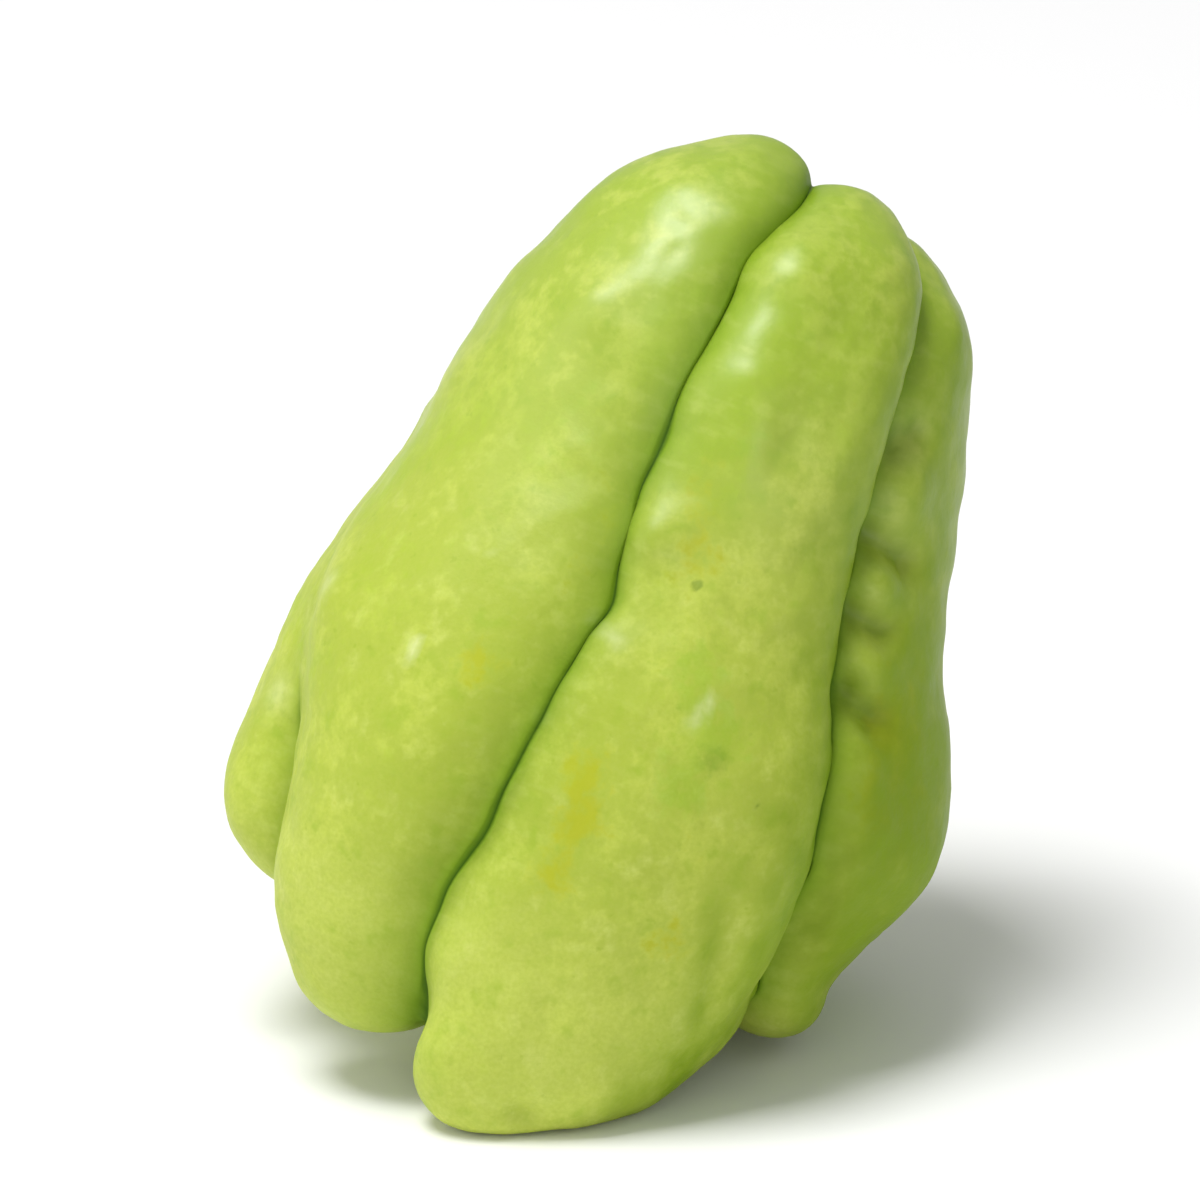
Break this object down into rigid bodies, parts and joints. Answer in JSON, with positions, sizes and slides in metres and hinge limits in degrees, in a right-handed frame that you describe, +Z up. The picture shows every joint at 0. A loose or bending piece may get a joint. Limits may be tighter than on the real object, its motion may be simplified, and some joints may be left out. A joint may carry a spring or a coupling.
{
  "type": "chayote",
  "caption": "Whole pear-shaped green chayote with deep lengthwise grooves between uneven lobes, leaning as it rests on its broad end.",
  "frame": {"origin": "on the ground, under the middle of the fruit's bounding box", "axes": "+Z up; the stem end leans towards +X and +Y, and the two front lobes face -Y"},
  "size_m": [0.0862, 0.082, 0.1056],
  "materials": {
    "skin": "smooth waxy pale green fruit skin with a soft sheen, yellower towards the broad end"
  },
  "bodies": {
    "root": {"fruit": "skin"}
  },
  "joints": []
}
